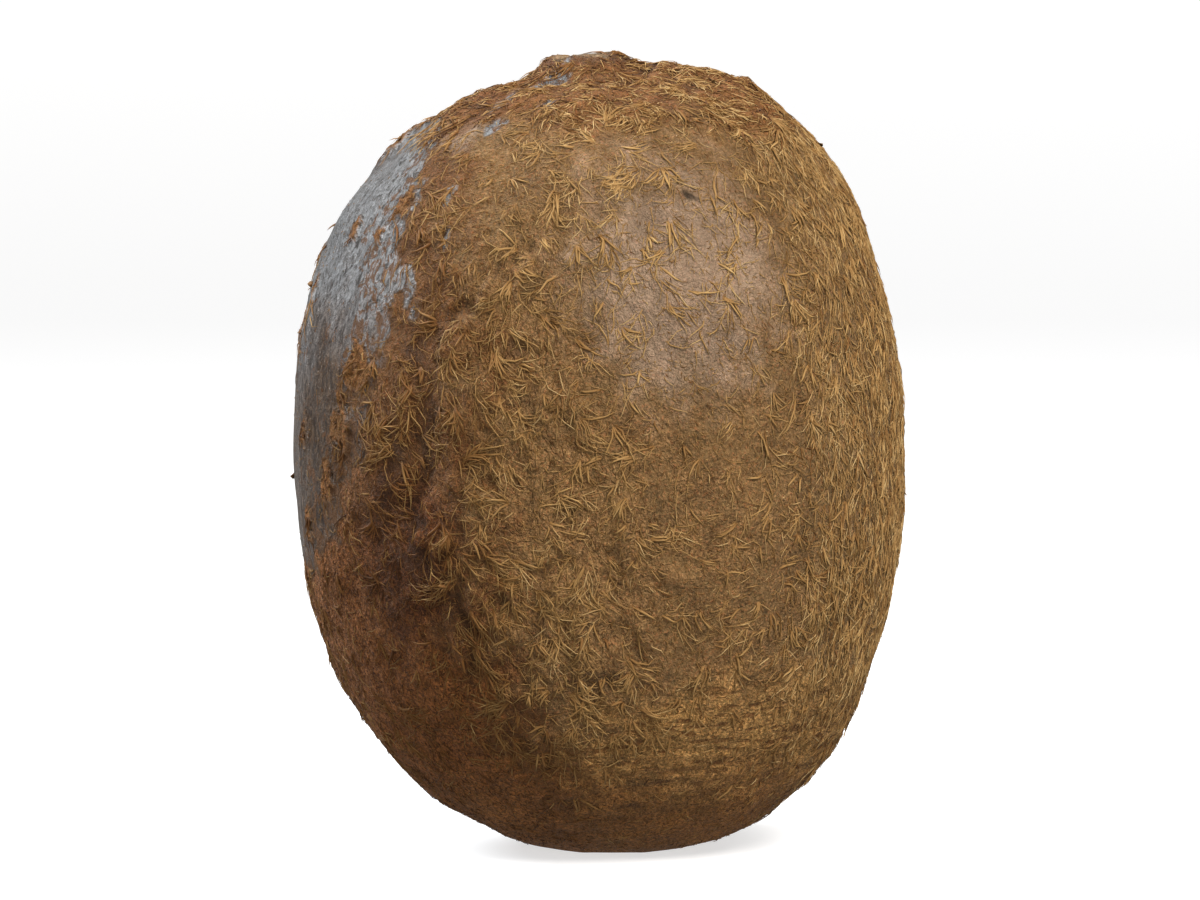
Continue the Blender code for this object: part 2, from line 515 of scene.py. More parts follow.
def growth_zones(at, worn, flank):
    """The crown, the base, the pale cheeks, the mats, the combed right side and the bruises."""
    crown = smooth_step((at.height - 60.5 + 1.2 * at.broad + 0.6 * at.ragged) / 3.2)
    base = smooth_step((11.0 - at.height + 1.6 * at.broad + 0.7 * at.ragged) / 8.5)
    pale = np.maximum(0.9 * at.patch("pale_cheek_and_highlight"), 0.4 * at.patch("pale_back"))
    pale = np.maximum(pale, at.patch("pale_shoulder"))
    matted = np.maximum(at.patch("low_mat"), at.patch("high_mat"))
    matted = np.maximum(matted, 0.8 * at.patch("back_mat"))
    right_side = smooth_step((at.turn - 36.0 + at.wander) / 16.0)
    right_side *= smooth_step((122.0 - at.turn + at.wander) / 20.0)
    right_half = smooth_step((at.turn + 6.0 + 2.0 * at.wander) / 14.0)
    right_half *= smooth_step((150.0 - at.turn + at.wander) / 20.0)
    wrinkled = smooth_step((18.0 - at.height + at.broad * 2.0 + at.ragged) / 6.0) * right_half
    bruised = np.zeros(len(crown))
    for *spot, depth in BRUISES:
        inside = 1.2 - at.apart_from(*spot) + 0.6 * at.fine
        bruised = np.maximum(bruised, depth * smooth_step(inside / 0.8))
    return {
        "crown": crown,
        "base": base,
        "pale": pale * (1.0 - crown),
        "matted": matted * (1.0 - worn) * (1.0 - 0.8 * flank) * (1.0 - pale),
        "right_side": right_side * (1.0 - crown) * (1.0 - base),
        "wrinkled": wrinkled,
        "combed": np.maximum(right_side, at.patch("combed_foot")),
        "brow": at.patch("brow"),
        "shoulder": at.patch("right_shoulder"),
        "core_shadow": 0.9 * at.patch("painted_core_shadow"),
        "bruised": bruised,
    }


def end_zones(at):
    """The stem's scar, with its rim, stump, cracks and clefts, and the dried flower below."""
    aside = at.x - STEM_SCAR[0], at.y - STEM_SCAR[1]
    from_scar = np.hypot(*aside) + 0.25 * at.ragged + FAR_OFF * (at.height < 60.0)
    round_scar = np.degrees(np.arctan2(aside[0], -aside[1]))
    scar = smooth_step((STEM_SCAR[2] + 0.2 - from_scar) / 0.5)
    stump = smooth_step((0.5 * STEM_SCAR[2] - from_scar) / 0.4)
    crack_wave = np.cos(np.radians(11.0 * round_scar + 90.0 * at.ragged))
    shaded_cleft = np.zeros(len(scar))
    for cleft_turn, distance, reach_round, reach_out in CLEFTS:
        turned = (round_scar - cleft_turn + 180.0) % 360.0 - 180.0
        along_it = np.radians(turned) * distance / reach_round
        out_of_it = (from_scar - distance + 0.5 * at.broad) / reach_out
        apart = np.hypot(along_it, out_of_it)
        shaded_cleft = np.maximum(shaded_cleft, smooth_step(1.1 * (1.35 - apart + 0.45 * at.fine)))
    from_flower = np.hypot(at.x - BLOSSOM_END[0], at.y - BLOSSOM_END[1])
    from_flower = from_flower + 0.25 * at.ragged + FAR_OFF * (at.height > 5.0)
    return {
        "scar": scar,
        "scar_rim": np.exp(-((from_scar - STEM_SCAR[2] - 0.3) / 0.5) ** 2),
        "stump": stump,
        "cracks": scar * smooth_step((crack_wave - 0.5) / 0.4) * (1.0 - stump),
        "shaded_cleft": shaded_cleft,
        "blossom": smooth_step((BLOSSOM_END[2] + 0.3 - from_flower) / 0.9),
    }


def read_zones(points):
    """How worn, furred, dark and so on the skin is at each point, most of them from 0 to 1."""
    at = Places(points)
    zones = {"broad": at.broad, "ragged": at.ragged, "fine": at.fine}
    zones.update(worn_zones(at))
    zones.update(fur_edge_zones(at, zones["worn"]))
    zones.update(growth_zones(at, zones["worn"], zones["flank"]))
    zones.update(end_zones(at))
    return zones


def broad_tone(zones):
    """The skin's broad colour at each point, mixed from the tones of the zones that it is in."""
    tone = np.tile(TONES["middle"], (len(zones["worn"]), 1))
    shares = (
        ("rusty", 0.85),
        ("right_side", 0.80),
        ("pale", 0.80),
        ("wrinkled", 0.80),
        ("flank", 0.90),
        ("core_shadow", 0.80),
        ("crown", 0.85),
        ("base", 0.90),
        ("rust", 0.85),
        ("shaded_cleft", 0.90),
        ("scar", 0.90),
        ("scar_rim", 0.80),
        ("stump", 0.75),
        ("blossom", 0.92),
    )
    for name, share in shares:
        amount = (share * zones[name])[:, None]
        tone = tone * (1.0 - amount) + np.array(TONES[name]) * amount
    tone = tone * (1.0 + 0.10 * zones["broad"][:, None] + 0.07 * zones["ragged"][:, None])
    # Darker in the scar's cracks and the bruises, and with a painted shadow beside the fur's ridge
    dark_marks_and_shadow = np.maximum(0.70 * zones["cracks"], np.maximum(0.45 * zones["painted_ridge_shadow"], zones["bruised"]))
    return tone * (1.0 - dark_marks_and_shadow[:, None])


def lie_of_hair(points, normals, zones, tree):
    """The way the hairs point: down the fruit from the stem, off each parting, with a swirl."""
    outward = unit(np.stack([points[:, 0], points[:, 1], np.zeros(len(points))], axis=1))
    facing_out = (normals * outward).sum(axis=1, keepdims=True)
    up = np.array([0.0, 0.0, 1.0])
    down = unit(outward * normals[:, 2:3] - up * facing_out)
    down = unit(down - normals * (down * normals).sum(axis=1, keepdims=True))
    side = np.cross(normals, down)
    swirl = 26.0 * noise_at(points, 8.0 * MM, 5) + 30.0 * noise_at(points, 3.1 * MM, 6)
    flow = swing(down, side, swirl * (1.0 - 0.55 * zones["combed"]))
    for turn, height, reach in PARTINGS:
        middle = np.array(place_on(tree, turn, height))
        apart = points - middle
        away = unit(apart - normals * (apart * normals).sum(axis=1, keepdims=True))
        share = smooth_step(1.6 * (1.0 - np.linalg.norm(apart, axis=1) / (reach * MM)))[:, None]
        flow = unit(flow * (1.0 - share) + away * share)
    return flow


def scattered(points, spacing, keep, seed):
    """Indices of points that stand no closer than spacing, drawn where keep is high."""
    draw = np.random.default_rng(seed)
    near = KDTree(len(points))
    for index, point in enumerate(points):
        near.insert(point, index)
    near.balance()
    free = draw.random(len(points)) < keep
    chosen = []
    for index in draw.permutation(len(points)):
        if not free[index]:
            continue
        chosen.append(index)
        for _, other, _ in near.find_range(points[index], spacing):
            free[other] = False
    return np.array(chosen), near


def plan_locks(points, normals, flow, zones, spacing, sizes, seed):
    """Locks of matted hair: where each starts, which way it lies and how big it is."""
    furred = 1.0 - zones["worn"]
    keep = furred * (0.38 + 0.62 * zones["matted"] + 0.4 * zones["crown"]) - 0.10 * zones["pale"]
    keep += 0.35 * zones["brow"]
    keep = np.clip(keep, 0.0, 1.0)
    keep *= smooth_step((points[:, 2] - 1.5 * MM) / (2.0 * MM))
    roots, near = scattered(points, spacing, keep, seed)
    draw = np.random.default_rng(seed + 1)
    count = len(roots)
    angle = draw.normal(0.0, 34.0, count) * (1.0 - 0.45 * zones["combed"][roots])
    along = swing(flow[roots], np.cross(normals[roots], flow[roots]), angle)
    strength = 0.30 + 0.70 * zones["matted"][roots] + 0.15 * zones["crown"][roots]
    strength *= 1.0 - 0.45 * zones["right_side"][roots]
    strength *= 1.0 - 0.6 * zones["flank"][roots]
    strength *= 1.0 - 0.6 * zones["base"][roots]
    length, width, rise = (draw.uniform(low, high, count) * MM for low, high in sizes)
    return {
        "root": roots,
        "along": along,
        "length": length,
        "width": width,
        "rise": rise * strength,
        "bend": draw.normal(0.0, 34.0, count),
        "crowd": np.where(draw.random(count) < 0.50 + 0.4 * zones["right_side"][roots], 1.0, 0.14),
    }, near


def lock_relief(points, normals, locks, near):
    """The rise of the skin's surface under the locks: a slow rise that ends in a short drop."""
    relief = np.zeros(len(points))
    shapes = (locks[name] for name in ("root", "along", "length", "width", "rise"))
    for root, along, length, width, rise in zip(*shapes):
        start = points[root]
        across = np.cross(normals[root], along)
        found = near.find_range(Vector(start + along * length * 0.5), length * 0.5 + width)
        spots = np.array([index for _, index, _ in found])
        apart = points[spots] - start
        share = (apart @ along) / length
        aside = np.abs(apart @ across) / (width * 0.5)
        profile = smooth_step(share / 0.72) * smooth_step((1.08 - share) / 0.20)
        lift = rise * profile * smooth_step(1.25 - aside)
        relief[spots] = np.maximum(relief[spots], lift)
    return relief


def skin_relief(points, normals, zones, locks, mats, near):
    """How far each point of the skin is moved along its normal."""
    height = points[:, 2]
    worn, crown = zones["worn"], zones["crown"]
    lines_down = noise_at(points, (0.55 * MM, 0.55 * MM, 3.2 * MM), 7)
    lines_round = noise_at(points, (4.5 * MM, 4.5 * MM, 0.85 * MM), 8)
    lumps = noise_at(points, 1.5 * MM, 9)
    dents = noise_at(points, 3.4 * MM, 10)
    relief = lock_relief(points, normals, locks, near) + lock_relief(points, normals, mats, near)
    relief += (0.06 + 0.055 * zones["fine"]) * MM * (1.0 - worn)
    relief += 0.07 * MM * dents * (1.0 - 0.4 * worn)
    relief += 0.15 * MM * lumps * zones["matted"]
    relief += 0.030 * MM * lines_down * (worn + 0.8 * zones["flank"])
    relief += 0.085 * MM * lines_round * zones["wrinkled"]
    relief += 0.16 * MM * lumps * crown
    relief -= 0.05 * MM * worn
    relief += 0.18 * MM * zones["rust"] * (0.7 + 0.3 * zones["fine"])
    relief -= 0.32 * MM * zones["shaded_cleft"]
    relief += 0.10 * MM * zones["scar_rim"] - 0.10 * MM * zones["cracks"]
    relief += 0.40 * MM * zones["shoulder"]
    for across, along, reach, rise in CROWN_BUMPS:
        apart = np.hypot(points[:, 0] / MM - across, points[:, 1] / MM - along) / reach
        relief += rise * MM * smooth_step(1.0 - apart) * (height > 40.0 * MM)
    relief += 0.30 * MM * zones["ridge"] * (0.7 + 0.3 * lumps)
    at_rest = smooth_step((height - 0.25 * MM) / (1.2 * MM))
    return relief * at_rest


def store(mesh, name, values):
    layer = mesh.attributes.new(name, "FLOAT", "POINT")
    layer.data.foreach_set("value", np.asarray(values, np.float32))


def store_colour(mesh, name, colours):
    layer = mesh.attributes.new(name, "FLOAT_COLOR", "POINT")
    four = np.concatenate([colours, np.ones((len(colours), 1))], axis=1)
    layer.data.foreach_set("color", four.astype(np.float32).ravel())


def make_skin():
    skin = skin_blank(smooth_form())
    mesh = skin.data
    points, normals = points_of(mesh), normals_of(mesh)
    tree = BVHTree.FromPolygons(points.tolist(), corners_of(mesh).tolist())
    zones = read_zones(points)
    flow = lie_of_hair(points, normals, zones, tree)
    locks, near = plan_locks(points, normals, flow, zones, LOCK_SPACING, LOCK_SIZES, LOCK_SEED)
    mats, _ = plan_locks(points, normals, flow, zones, MAT_SPACING, MAT_SIZES, MAT_SEED)
    relief = skin_relief(points, normals, zones, locks, mats, near)
    points = points + normals * relief[:, None]
    points[:, 2] = np.maximum(points[:, 2], 0.0)
    move_points(mesh, points)
    for name in STORED_ZONES:
        store(mesh, name, zones[name])
    store(mesh, "raised", relief / (0.3 * MM))
    store_colour(mesh, "tone", broad_tone(zones))
    return skin, zones, flow, locks


# The hairs


def hair_blank(rings):
    """One hair as a three-sided needle: its rings, its points and its triangles."""
    deselect_all()
    bpy.ops.mesh.primitive_cone_add(
        vertices=3, radius1=1.0, radius2=0.0, depth=1.0, location=(0.0, 0.0, 0.5)
    )
    blank = bpy.context.object
    bpy.ops.object.transform_apply(location=True, rotation=True, scale=True)
    bpy.ops.object.mode_set(mode="EDIT")
    for height in rings[1:-1]:
        bpy.ops.mesh.select_all(action="SELECT")
        bpy.ops.mesh.bisect(plane_co=(0.0, 0.0, height), plane_no=(0.0, 0.0, 1.0))
    bpy.ops.mesh.select_all(action="SELECT")
    bpy.ops.mesh.quads_convert_to_tris()
    bpy.ops.object.mode_set(mode="OBJECT")
    points = points_of(blank.data)
    blank.data.calc_loop_triangles()
    faces = np.array([triangle.vertices[:] for triangle in blank.data.loop_triangles])
    bpy.data.objects.remove(blank, do_unlink=True)
    return rings, points, faces


def lay_along(tree, starts, ways, lengths, bends, steps):
    """Walks each hair over the skin by its bends: its points, with the normal and way at each."""
    spots, ups, leads = [], [], []
    here, way = starts.copy(), ways.copy()
    for step in range(steps + 1):
        found = [tree.find_nearest(Vector(spot)) for spot in here]
        here = np.array([hit[0] for hit in found])
        up = np.array([hit[1] for hit in found])
        way = unit(way - up * (way * up).sum(axis=1, keepdims=True))
        spots.append(here)
        ups.append(up)
        leads.append(way)
        if step == steps:
            break
        way = swing(way, np.cross(up, way), bends[:, step])
        here = here + way * (lengths / steps)[:, None]
    return np.stack(spots, 1), np.stack(ups, 1), np.stack(leads, 1)


def winding(draw, lean, spread, joints):
    """How many degrees each hair turns at each of its joints, so that it winds a little."""
    spread = np.broadcast_to(spread, lean.shape)
    even = (lean + draw.normal(0.0, 1.0, len(lean)) * spread) / joints
    return even[:, None] + 0.75 * draw.normal(0.0, 1.0, (len(lean), joints)) * spread[:, None]


def grow_hairs(name, blank, tree, hairs, form, material, flatness):
    """Bends one copy of the blank along each hair's path and makes one piece of them all."""
    rings, shape, faces = blank
    lift, thickness = form
    steps = len(rings) - 1
    spots, ups, leads = lay_along(tree, hairs["start"], hairs["way"], hairs["length"], hairs["bend"], steps)
    ring_of = np.argmin(np.abs(shape[:, 2:3] - np.array(rings)[None, :]), axis=1)
    round_it = np.arctan2(shape[:, 1], shape[:, 0])
    spot, up, lead = spots[:, ring_of], ups[:, ring_of], leads[:, ring_of]
    side = np.cross(up, lead)
    thick = np.array(thickness)[ring_of][None, :, None] * hairs["thick"][:, None, None] * MM
    rise = np.array(lift)[ring_of][None, :] * np.minimum(hairs["lift"], MOST_LIFT)[:, None]
    rise = np.where(ring_of[None, :] == 0, -ROOT_DEPTH, rise)[..., None] * MM
    points = spot + up * rise
    across, over = np.cos(round_it)[None, :, None], np.sin(round_it)[None, :, None]
    points = points + thick * (across * side + flatness * over * up)
    points[..., 2] = np.maximum(points[..., 2], LEAST_HEIGHT * MM)
    count, size = len(spots), len(shape)
    every = (faces[None] + (np.arange(count) * size)[:, None, None]).reshape(-1, 3)
    mesh = bpy.data.meshes.new(name)
    mesh.from_pydata(points.reshape(-1, 3).tolist(), [], every.tolist())
    mesh.shade_smooth()
    uv = mesh.uv_layers.new(name="OFBake")
    shade = hairs["shade"][:, None] + 0.006 * (np.cos(round_it)[None, :] - 0.5)
    along = np.broadcast_to(np.array(rings)[ring_of][None, :], shade.shape)
    per_point = MAP_MARGIN + (1.0 - 2.0 * MAP_MARGIN) * np.stack([shade, along], axis=-1).reshape(-1, 2)
    uv.data.foreach_set("uv", per_point[every.ravel()].astype(np.float32).ravel())
    piece = bpy.data.objects.new(name, mesh)
    bpy.context.scene.collection.objects.link(piece)
    mesh.materials.append(material)
    return piece


def random_spots(mesh, density, count, draw):
    """Count random spots on the skin, drawn by area and density, with each one's nearest point."""
    points, corners = points_of(mesh), corners_of(mesh)
    quads = points[corners]
    area = np.linalg.norm(np.cross(quads[:, 2] - quads[:, 0], quads[:, 3] - quads[:, 1]), axis=1)
    weight = area * density[corners].mean(axis=1)
    face = draw.choice(len(corners), count, p=weight / weight.sum())
    across, along = draw.random((count, 1)), draw.random((count, 1))
    quad = quads[face]
    low = quad[:, 0] * (1.0 - across) + quad[:, 1] * across
    high = quad[:, 3] * (1.0 - across) + quad[:, 2] * across
    far_across, far_along = across[:, 0] > 0.5, along[:, 0] > 0.5
    nearest = corners[face, 2 * far_along + (far_across ^ far_along)]
    return low * (1.0 - along) + high * along, nearest


def hair_shades(zones, near, draw, base_shade, spread):
    """Where each hair stands between dark brown, 0, rust, tan, gold and pale straw, 1."""
    shade = base_shade
    for name, shift in SHADE_SHIFTS:
        shade = shade + shift * zones[name][near]
    uneven = spread * (1.0 + 0.6 * zones["right_side"][near] + 1.4 * zones["crown"][near])
    return np.clip(shade + draw.normal(0.0, 1.0, len(near)) * uneven, 0.02, 0.98)


def crowd_of(points, zones):
    """How thickly the long hairs grow at each point of the skin."""
    crowd = 0.32
    for name, gain in CROWD_GAINS:
        crowd = crowd + gain * zones[name]
    crowd = crowd + 0.55 * zones["combed"] * (1.0 - zones["right_side"]) + 0.60 * zones["brow"]
    crowd = crowd * (1.0 - np.clip(2.5 * zones["bruised"] - 1.0, 0.0, 1.0))
    for name, share in CROWD_FACTORS:
        crowd = crowd * (1.0 + share * zones[name])
    return crowd * smooth_step((points[:, 2] - 0.8 * MM) / (1.5 * MM)) + 1e-6


def tuft_hairs(skin, zones, locks, normals):
    """Hairs in tufts along the locks: most fan out from the root, the rest meet at the tip."""
    draw = np.random.default_rng(HAIR_SEED)
    points = points_of(skin.data)
    in_all = len(locks["root"])
    right_side = zones["right_side"][locks["root"]]
    weight = crowd_of(points, zones)[locks["root"]] * locks["length"] * (1.1 - 0.8 * right_side)
    weight = weight * locks["crowd"]
    lock = draw.choice(in_all, TUFT_HAIRS, p=weight / weight.sum())
    near = locks["root"][lock]
    along = locks["along"][lock]
    across = np.cross(normals[near], along)
    length, width = locks["length"][lock], locks["width"][lock]
    aside = draw.uniform(-1.0, 1.0, TUFT_HAIRS)
    meets = draw.random(in_all)[lock] < 0.30
    back = draw.uniform(-0.10, 0.55, TUFT_HAIRS)
    spread = np.where(meets, 0.42, 0.26) * width * aside
    start = points[near] + along * (back * length)[:, None] + across * spread[:, None]
    fan = draw.uniform(4.0, 17.0, in_all)[lock]
    angle = np.where(meets, -12.0, fan) * aside + draw.normal(0.0, 19.0, TUFT_HAIRS)
    angle *= 1.0 - 0.5 * zones["right_side"][near]
    short = 1.0 - 0.25 * zones["flank"][near] - 0.25 * zones["base"][near]
    flat = 1.0 - 0.35 * zones["flank"][near] - 0.50 * zones["base"][near]
    own_shade = draw.normal(0.0, 0.06, in_all)[lock]
    return {
        "start": start,
        "way": swing(along, across, angle),
        "length": np.clip(length * short * draw.uniform(0.45, 1.05, TUFT_HAIRS), 0.7 * MM, 3.6 * MM),
        "bend": winding(draw, locks["bend"][lock], 30.0, 3),
        "lift": draw.lognormal(0.0, 0.35, TUFT_HAIRS) * flat,
        "thick": draw.uniform(0.45, 0.90, TUFT_HAIRS),
        "shade": np.clip(hair_shades(zones, near, draw, 0.69, 0.12) + own_shade, 0.02, 0.98),
    }


def felted_clumps(skin, zones, locks, normals):
    """Hairs that are stuck together in a flat wedge, which lies along a lock and ends in a point."""
    draw = np.random.default_rng(CLUMP_SEED)
    points = points_of(skin.data)
    weight = crowd_of(points, zones)[locks["root"]] * locks["length"] * locks["crowd"] ** 2
    weight = weight * (1.0 - 0.6 * zones["right_side"][locks["root"]])
    lock = draw.choice(len(weight), CLUMPS, p=weight / weight.sum())
    near = locks["root"][lock]
    along = locks["along"][lock]
    across = np.cross(normals[near], along)
    angle = draw.normal(0.0, 9.0, CLUMPS)
    aside = draw.normal(0.0, 0.16, CLUMPS) * locks["width"][lock]
    flat = 1.0 - 0.35 * zones["flank"][near] - 0.50 * zones["base"][near]
    return {
        "start": points[near] + across * aside[:, None],
        "way": swing(along, across, angle),
        "length": np.clip(locks["length"][lock] * draw.uniform(0.55, 0.95, CLUMPS), 1.2 * MM, 3.6 * MM),
        "bend": winding(draw, locks["bend"][lock], 22.0, 3),
        "lift": draw.lognormal(0.0, 0.35, CLUMPS) * flat,
        "thick": draw.uniform(0.55, 1.15, CLUMPS),
        "shade": hair_shades(zones, near, draw, 0.59, 0.07),
    }


def loose_hairs(skin, zones, flow, normals):
    """Single hairs that lie over the tufts, longest and straightest down the right side."""
    draw = np.random.default_rng(LOOSE_SEED)
    points = points_of(skin.data)
    crowd = crowd_of(points, zones) * (0.35 + 1.2 * zones["right_side"] + 0.3 * zones["crown"])
    start, near = random_spots(skin.data, crowd, LOOSE_HAIRS, draw)
    straight = zones["right_side"][near]
    angle = draw.normal(0.0, 1.0, LOOSE_HAIRS) * (36.0 - 24.0 * straight)
    length = draw.lognormal(math.log(1.45), 0.34, LOOSE_HAIRS) * (1.0 + 0.55 * straight) * MM
    length *= 1.0 - 0.30 * zones["wrinkled"][near] - 0.4 * zones["base"][near]
    return {
        "start": start,
        "way": swing(flow[near], np.cross(normals[near], flow[near]), angle),
        "length": np.clip(length, 0.7 * MM, 4.5 * MM),
        "bend": winding(draw, np.zeros(LOOSE_HAIRS), 34.0 - 16.0 * straight, 3),
        "lift": draw.lognormal(0.0, 0.35, LOOSE_HAIRS) * (1.0 - 0.25 * straight),
        "thick": draw.uniform(0.45, 0.80, LOOSE_HAIRS),
        "shade": hair_shades(zones, near, draw, 0.63, 0.12),
    }


def fuzz_hairs(skin, zones, flow, normals):
    """The short under-fuzz between the tufts, which lies every way and thins out on bare skin."""
    draw = np.random.default_rng(FUZZ_SEED)
    points = points_of(skin.data)
    crowd = (1.0 - 0.93 * zones["worn"]) * (1.0 - 0.35 * zones["pale"]) * (1.0 - 0.3 * zones["base"])
    crowd = (crowd + 0.8 * zones["rust"]) * (1.0 - 0.98 * zones["scar"])
    crowd = crowd * smooth_step((points[:, 2] - 0.3 * MM) / (0.8 * MM)) + 1e-6
    start, near = random_spots(skin.data, crowd, FUZZ_HAIRS, draw)
    angle = draw.normal(0.0, 46.0, len(near))
    length = draw.lognormal(math.log(0.62), 0.35, len(near)) * (1.0 - 0.35 * zones["worn"][near]) * MM
    return {
        "start": start,
        "way": swing(flow[near], np.cross(normals[near], flow[near]), angle),
        "length": np.clip(length, 0.25 * MM, 1.6 * MM),
        "bend": winding(draw, np.zeros(FUZZ_HAIRS), 40.0, 2),
        "lift": draw.lognormal(0.0, 0.45, len(near)) * (1.0 - 0.5 * zones["worn"][near]),
        "thick": draw.uniform(0.7, 1.2, len(near)),
        "shade": hair_shades(zones, near, draw, 0.48, 0.17),
    }


def skin_flakes(tree):
    """Dry flakes of skin, as pointed blades that stand off at the tip."""
    draw = np.random.default_rng(FLAKE_SEED)
    start = np.array([place_on(tree, turn, height) for turn, height in FLAKES])
    outward = unit(start * np.array([1.0, 1.0, 0.0]))
    up = np.array([0.0, 0.0, 1.0])
    angle = draw.uniform(-50.0, 50.0, len(start))
    return {
        "start": start,
        "way": swing(-up, np.cross(outward, up), angle),
        "length": draw.uniform(0.7, 1.3, len(start)) * MM,
        "bend": winding(draw, np.zeros(len(start)), 24.0, 3),
        "lift": draw.uniform(0.7, 1.3, len(start)),
        "thick": draw.uniform(0.8, 1.3, len(start)),
        "shade": draw.uniform(0.28, 0.46, len(start)),
    }


def dried_styles():
    """The flower's dried styles, which spread from the middle of the blossom end's hollow."""
    draw = np.random.default_rng(STYLE_SEED)
    angle = np.radians(np.arange(STYLES) * 360.0 / STYLES + draw.normal(0.0, 6.0, STYLES))
    way = np.stack([np.cos(angle), np.sin(angle), np.zeros(STYLES)], axis=1)
    middle = np.array([BLOSSOM_END[0], BLOSSOM_END[1], 0.8]) * MM
    return {
        "start": middle + way * (draw.uniform(0.2, 0.9, STYLES) * MM)[:, None],
        "way": way,
        "length": draw.uniform(1.3, 2.3, STYLES) * MM,
        "bend": winding(draw, np.zeros(STYLES), 30.0, 3),
        "lift": draw.uniform(0.4, 1.2, STYLES),
        "thick": draw.uniform(0.6, 1.1, STYLES),
        "shade": draw.uniform(0.05, 0.26, STYLES),
    }


def part_by_sector(hairs):
    """Splits the hairs by the quarter of the fruit that they grow on."""
    turn = turns_of(hairs["start"])
    for name, first, last in SECTORS:
        inside = (turn >= first) & (turn < last)
        yield name, {key: values[inside] for key, values in hairs.items()}


# Materials

# What the skin's tone is multiplied by, by how light the fibres over it are
FIBRE_TINTS = (
    (0.37, (0.28, 0.20, 0.12)),
    (0.46, (0.72, 0.65, 0.56)),
    (0.53, (1.04, 1.03, 1.02)),
    (0.62, (1.74, 1.80, 1.88)),
)

# What the skin's tone is multiplied by in each kind of its fine marks
TINTS = {
    "olive_patches": (0.80, 1.00, 0.92),
    "red_dots": (1.35, 0.85, 0.70),
    "green_dots": (0.52, 0.70, 0.66),
    "pale_specks": (1.75, 1.70, 1.65),
    # Painted shadow: the creases' dark lines stand for the shade along the edges of the mats
    "shaded_creases": (0.46, 0.33, 0.21),
    # Painted shadow: the dashes are short dark marks that stand for the shade of small wrinkles
    "shaded_dashes": (0.34, 0.23, 0.13),
    "strands": (1.40, 1.42, 1.22),
}

# The bare skin's colours, from its dark streaks to its light ones, and those of its flecks
BROWN_SKIN = (
    (0.40, (0.042, 0.020, 0.009)),
    (0.50, (0.102, 0.057, 0.030)),
    (0.59, (0.205, 0.133, 0.084)),
)
# Painted sheen and glints: the grey-white of the upper bare skin and its light streaks stand for reflected
# light
PAINTED_SHEEN_SKIN = (
    (0.40, (0.086, 0.078, 0.072)),
    (0.46, (0.262, 0.257, 0.252)),
    (0.56, (0.470, 0.474, 0.480)),
)
RUST_FLECK = (0.185, 0.078, 0.024)
RED_FLECK = (0.200, 0.080, 0.035)

# The hairs' colours by shade, and what they are multiplied by from root to tip
HAIR_COLOURS = (
    (0.04, (0.050, 0.018, 0.004)),
    (0.28, (0.150, 0.064, 0.017)),
    (0.50, (0.222, 0.121, 0.040)),
    (0.75, (0.344, 0.208, 0.077)),
    (0.96, (0.460, 0.314, 0.142)),
)
ROOT_TINTS = (
    (0.05, (0.66, 0.56, 0.44)),
    (0.55, (1.0, 1.0, 1.0)),
    (0.95, (1.12, 1.10, 1.02)),
)


def new_material(name):
    material = bpy.data.materials.new(name)
    material.use_nodes = True
    tree = material.node_tree
    return material, tree, tree.nodes["Principled BSDF"]


def node(tree, kind, inputs=None, **settings):
    """A new node, with settings and with inputs that are values or other nodes' outputs."""
    made = tree.nodes.new(kind)
    for key, value in settings.items():
        setattr(made, key, value)
    for key, value in (inputs or {}).items():
        if isinstance(value, bpy.types.NodeSocket):
            tree.links.new(value, made.inputs[key])
        else:
            made.inputs[key].default_value = value
    return made


def ramp(tree, share, stops):
    """A colour ramp with stops of place and colour."""
    made = node(tree, "ShaderNodeValToRGB", {"Fac": share})
    band = made.color_ramp
    while len(band.elements) < len(stops):
        band.elements.new(0.5)
    for element, (place, colour) in zip(band.elements, stops):
        element.position = place
        element.color = (*colour, 1.0)
    return made.outputs["Color"]


def mask(tree, value, first, last, ends=(0.0, 1.0)):
    """A mask that goes from one end to the other while the value goes from first to last."""
    return ramp(tree, value, ((first, (ends[0],) * 3), (last, (ends[1],) * 3)))


def blend(tree, share, first, second, mode="MIX"):
    """Two colours, mixed or multiplied by a share."""
    made = node(tree, "ShaderNodeMix", data_type="RGBA", blend_type=mode, clamp_factor=True)
    for index, value in ((0, share), (6, first), (7, second)):
        if isinstance(value, bpy.types.NodeSocket):
            tree.links.new(value, made.inputs[index])
        elif index == 0:
            made.inputs[index].default_value = value
        else:
            made.inputs[index].default_value = (*value, 1.0)
    return made.outputs[2]


def between(tree, share, first, second):
    """The first value where the share is 0, and the second where it is 1."""
    return node(tree, "ShaderNodeMix", {0: share, 2: first, 3: second}, data_type="FLOAT").outputs[0]


def sums(tree, operation, first, second, clamp=False):
    made = node(tree, "ShaderNodeMath", {0: first, 1: second}, operation=operation, use_clamp=clamp)
    return made.outputs["Value"]


def plus(tree, first, second, clamp=False):
    return sums(tree, "ADD", first, second, clamp)


def less(tree, first, second):
    return sums(tree, "SUBTRACT", first, second)


def times(tree, first, second):
    return sums(tree, "MULTIPLY", first, second)


def rescale(tree, value, low, high, to_low, to_high, **settings):
    """A value whose range from low to high becomes the one from to_low to to_high."""
    limits = {"Value": value, "From Min": low, "From Max": high, "To Min": to_low, "To Max": to_high}
    return node(tree, "ShaderNodeMapRange", limits, **settings).outputs["Result"]


def stored(tree, name, output="Fac"):
    """What the mesh stores under a name at each of its points."""
    made = node(tree, "ShaderNodeAttribute", attribute_type="GEOMETRY", attribute_name=name)
    return made.outputs[output]


